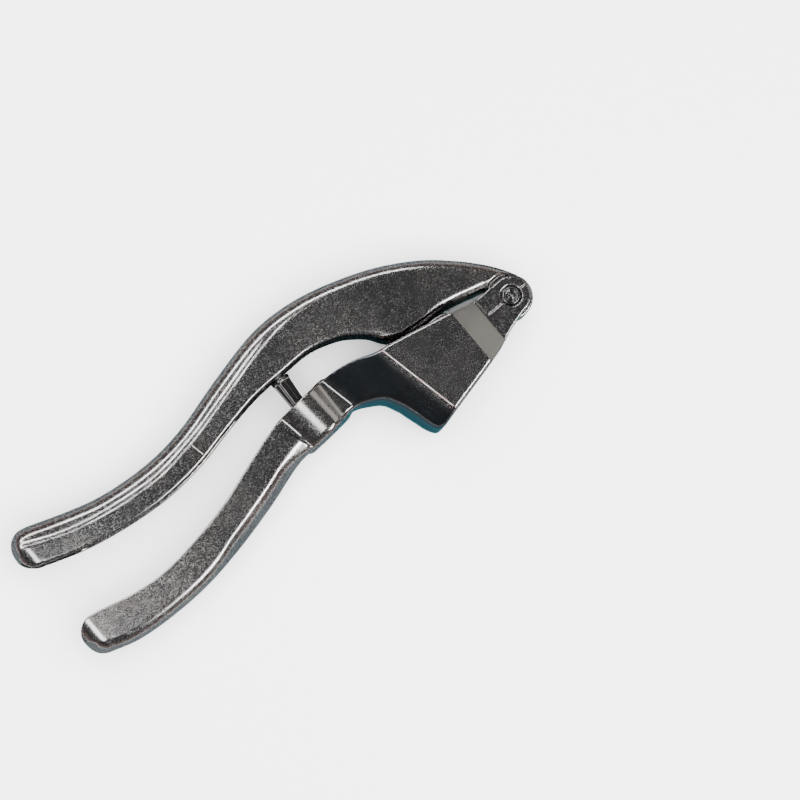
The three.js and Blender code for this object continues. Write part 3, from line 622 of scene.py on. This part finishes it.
REST_OPEN = math.radians(6)  # how far the upper handle stands open
SWING = math.radians(0.72)  # and how far the plunger has swung on its pin
PLUNGER_BOSS = 4.0
PIN_U = PIN_X * math.cos(FLOOR_TILT - REST_OPEN) + PIN_Y * math.sin(FLOOR_TILT - REST_OPEN)
PIN_N = PIN_Y * math.cos(FLOOR_TILT - REST_OPEN) - PIN_X * math.sin(FLOOR_TILT - REST_OPEN)
turns = np.linspace(math.pi * 0.3, math.pi, 24)
boss = [(PIN_U + PLUNGER_BOSS * math.cos(a), PIN_N + PLUNGER_BOSS * math.sin(a)) for a in turns]
hump = [(u, PIN_N + n) for u, n in ((-16.5, -1), (-17.4, 0.9), (-18.9, 2), (-20.9, 2.7), (-22.5, 3))]
plunger_side = flat_distance(np.array([(PIN_U - 6.5, 1.5), (-16.5, 1.5), *hump, *boss]), 0.2)


def plunger_shape(u, n, z):
    x = u * math.cos(FLOOR_TILT) - n * math.sin(FLOOR_TILT)
    y = u * math.sin(FLOOR_TILT) + n * math.cos(FLOOR_TILT)
    reach = np.hypot(x, y)
    z = np.abs(z)
    room = both(np.maximum(reach - 43.8, 18.2 - reach), z - 12.2, 4.4)
    plate = both(room, np.abs(n + 0.5) - 3, 0.5)
    raised = both(plunger_side(u, n), z - 9, 0.7)
    raised = cut(raised, both(z - 5, u - PIN_U - 6.6, 0.3), 0.4)
    raised = both(raised, 18.2 - reach, 0.4)
    body = either(plate, raised, 0.8)
    return cut(body, np.hypot(u - PIN_U, n - PIN_N) - PIN_HOLE, 0.2)


plunger_finish = plating("plate_plunger", ((0.2, 0.22, 0.25, 1), (0.3, 0.31, 0.34, 1)), 0.16, 0.3)
plunger_mesh = cast("plunger_cast", plunger_shape, (-45, -4.2, -12.8), (-14, 18, 12.8), 0.34)
on_floor(plunger_mesh)
plunger_mesh.transform(Matrix.Rotation(-REST_OPEN, 4, "Z"))
to_pin = Matrix.Translation((PIN_X * MM, PIN_Y * MM, 0))
plunger_mesh.transform(to_pin @ Matrix.Rotation(SWING, 4, "Z") @ to_pin.inverted())
place("plunger_plate", plunger_mesh, "plunger", "plunger", plunger_finish)

# ---------------------------------------------------------------- pins
# Turned steel: the rivet with its two set heads, each dished with a centre point, and the plain pin that
# the plunger swings on.


def turn(name, profile, sides=96):
    """A closed body turned about Z from [radius, height] points in mm that start and end on the axis."""
    made = bmesh.new()
    rings = []
    for radius, height in profile:
        if radius == 0:
            rings.append([made.verts.new((0, 0, height * MM))])
        else:
            angles = [2 * math.pi * i / sides for i in range(sides)]
            flat = [(radius * MM * math.cos(a), radius * MM * math.sin(a)) for a in angles]
            rings.append([made.verts.new((*spot, height * MM)) for spot in flat])
    for lower, upper in zip(rings, rings[1:]):
        for i in range(sides):
            j = (i + 1) % sides
            corners = [ring[k % len(ring)] for ring, k in ((lower, i), (lower, j), (upper, j), (upper, i))]
            made.faces.new(list(dict.fromkeys(corners)))
    bmesh.ops.recalc_face_normals(made, faces=made.faces)
    mesh = bpy.data.meshes.new(name)
    made.to_mesh(mesh)
    made.free()
    mesh.shade_smooth()
    return mesh


def rounded(corners, r=0.12, steps=4):
    """A turned profile with each inner corner eased by radius r."""
    out = [corners[0]]
    for before, here, after in zip(corners, corners[1:], corners[2:]):
        a, b, c = (np.array(p, float) for p in (before, here, after))
        near = min(r, np.linalg.norm(a - b) * 0.45, np.linalg.norm(c - b) * 0.45)
        start = b + (a - b) / np.linalg.norm(a - b) * near
        end = b + (c - b) / np.linalg.norm(c - b) * near
        for t in np.linspace(0, 1, steps):
            out.append(tuple(start * (1 - t) ** 2 + 2 * b * t * (1 - t) + end * t * t))
    return out + [corners[-1]]


head = [
    (2.2, 8.7), (2.8, 8.7), (2.8, 9.75), (2.45, 10.1), (1.95, 10.1), (1.6, 9.7), (1.0, 9.75), (0.85, 10.05),
    (0.4, 10.1), (0, 9.75),
]
profile = [(0, -9.75), *[(r, -z) for r, z in head[::-1][1:]], *head]
pin_finish = plating("pin_steel", ((0.36, 0.36, 0.37, 1), (0.46, 0.46, 0.46, 1)), 0.14, 0.0)
place("rivet", turn("rivet_turned", rounded(profile)), "lower", "pivot_rivet", pin_finish)

pin_mesh = turn("plunger_pin_turned", rounded([(0, -9), (1.6, -9), (1.6, 9), (0, 9)], 0.3))
pin_mesh.transform(to_pin)
place("swing_pin", pin_mesh, "upper", "plunger_pin", pin_finish)

# ---------------------------------------------------------------- table, light and camera
# The press lies on a plain white sheet. Narrow soft boxes half-way up on both sides draw the bright lines
# along its rounds. A higher one toward the tails lights the cup, and a weak one stands beyond the head. The
# big box overhead lights the sheet and never shows in the plating, so the flat sides stay dark.

camera = bpy.data.objects.new("camera", bpy.data.cameras.new("camera"))
bpy.context.scene.collection.objects.link(camera)
bpy.context.scene.camera = camera
DISTANCE = 0.87
ahead = Vector((0.07, 0.026, -1)).normalized()
across = Vector((0.766, -0.643, 0))
across = (across - ahead * across.dot(ahead)).normalized()
upward = across.cross(ahead)
target = PIVOT + Vector((-0.0475, -0.0026, 0.010))
turned_to = Matrix((across, upward, -ahead)).transposed().to_4x4()
camera.matrix_world = Matrix.Translation(target - ahead * DISTANCE) @ turned_to
camera.data.sensor_width = 36
camera.data.lens = 36 * DISTANCE / 0.248
camera.data.clip_start, camera.data.clip_end = 0.05, 10

def flat_sheet(name, half, segments):
    """A square sheet on the table's plane, which is scenery and not part of the press."""
    mesh = bpy.data.meshes.new(name)
    grid = bmesh.new()
    bmesh.ops.create_grid(grid, x_segments=segments, y_segments=segments, size=half)
    grid.to_mesh(mesh)
    grid.free()
    made = bpy.data.objects.new(name, mesh)
    bpy.context.scene.collection.objects.link(made)
    return made


white = bpy.data.materials.new("white_sheet")
start = bare(white)
shader = start.node("ShaderNodeBsdfPrincipled", sockets={"Base Color": (0.9, 0.9, 0.9, 1), "Roughness": 0.9})
start.node("ShaderNodeOutputMaterial", sockets={"Surface": shader})
flat_sheet("table_sheet", 1.5, 8).data.materials.append(white)


def soft_box(name, azimuth, elevation, power, size, distance=0.9, color=(1, 1, 1), shine=True):
    """A rectangular light that looks at the press from a compass direction, in degrees from +X."""
    light = bpy.data.lights.new(name, "AREA")
    light.energy, light.color = power, color
    light.shape, light.size, light.size_y = "RECTANGLE", *size
    made = bpy.data.objects.new(name, light)
    bpy.context.scene.collection.objects.link(made)
    a, e = math.radians(azimuth), math.radians(elevation)
    away = Vector((math.cos(a) * math.cos(e), math.sin(a) * math.cos(e), math.sin(e)))
    made.location = target + away * distance
    made.rotation_mode = "QUATERNION"
    made.rotation_quaternion = away.to_track_quat("Z", "Y")
    made.visible_glossy = shine


soft_box("box_below", 286, 50, 4, (0.5, 0.14))
soft_box("box_cup", 178, 66, 1.2, (0.3, 0.26))
soft_box("box_above", 98, 52, 4, (1.17, 0.1))
soft_box("box_head", -12, 34, 0.35, (0.5, 0.3), color=(1, 0.98, 0.9))
soft_box("box_over", 300, 84, 66, (1.1, 1.1), shine=False)

# A glowing card that shows only in the plating, as a painted reflection: teal round the hopper, grey-blue
# further off, and dark in a band along the upper handle.
card = flat_sheet("table_card", 0.5, 4)
card.location.z = 0.0004
card.visible_camera = card.visible_diffuse = card.visible_shadow = False
teal = bpy.data.materials.new("card_teal")
start = bare(teal)
spot = start.node("ShaderNodeTexCoord", out="Object")
away = start.node("ShaderNodeVectorMath", {"operation": "DISTANCE"}, {0: spot, 1: (0.045, -0.02, 0)}, 1)
beside = (start.node("ShaderNodeSeparateXYZ", sockets={0: spot}, out=1) - PIVOT.y) * 1000.0
outside = 1 - beside.clipped(3, 7) * (1 - beside.clipped(31, 36))
tone = start.node(
    "ShaderNodeMix",
    {"data_type": "RGBA"},
    {"Factor": away.clipped(0.02, 0.05), "A": (0.06, 0.22, 0.27, 1), "B": (0.24, 0.28, 0.3, 1)},
    2,
)
shader = start.node("ShaderNodeEmission", sockets={"Color": tone, "Strength": outside * 0.95 + 0.05})
start.node("ShaderNodeOutputMaterial", sockets={"Surface": shader})
card.data.materials.append(teal)

world = bpy.data.worlds.new("studio")
bpy.context.scene.world = world
start = bare(world)
sky = start.node("ShaderNodeTexCoord", out="Generated")
height = start.node("ShaderNodeSeparateXYZ", sockets={0: sky}, out=2)
tone = start.node(
    "ShaderNodeValToRGB",
    {"stops": [
        (0.0, (0.30, 0.24, 0.22, 1)), (0.3, (0.12, 0.095, 0.09, 1)), (0.6, (0.04, 0.042, 0.045, 1)),
        (0.95, (0.055, 0.055, 0.055, 1)),
    ]},
    {"Fac": height},
)
shader = start.node("ShaderNodeBackground", sockets={"Color": tone, "Strength": 1.0})
start.node("ShaderNodeOutputWorld", sockets={"Surface": shader})
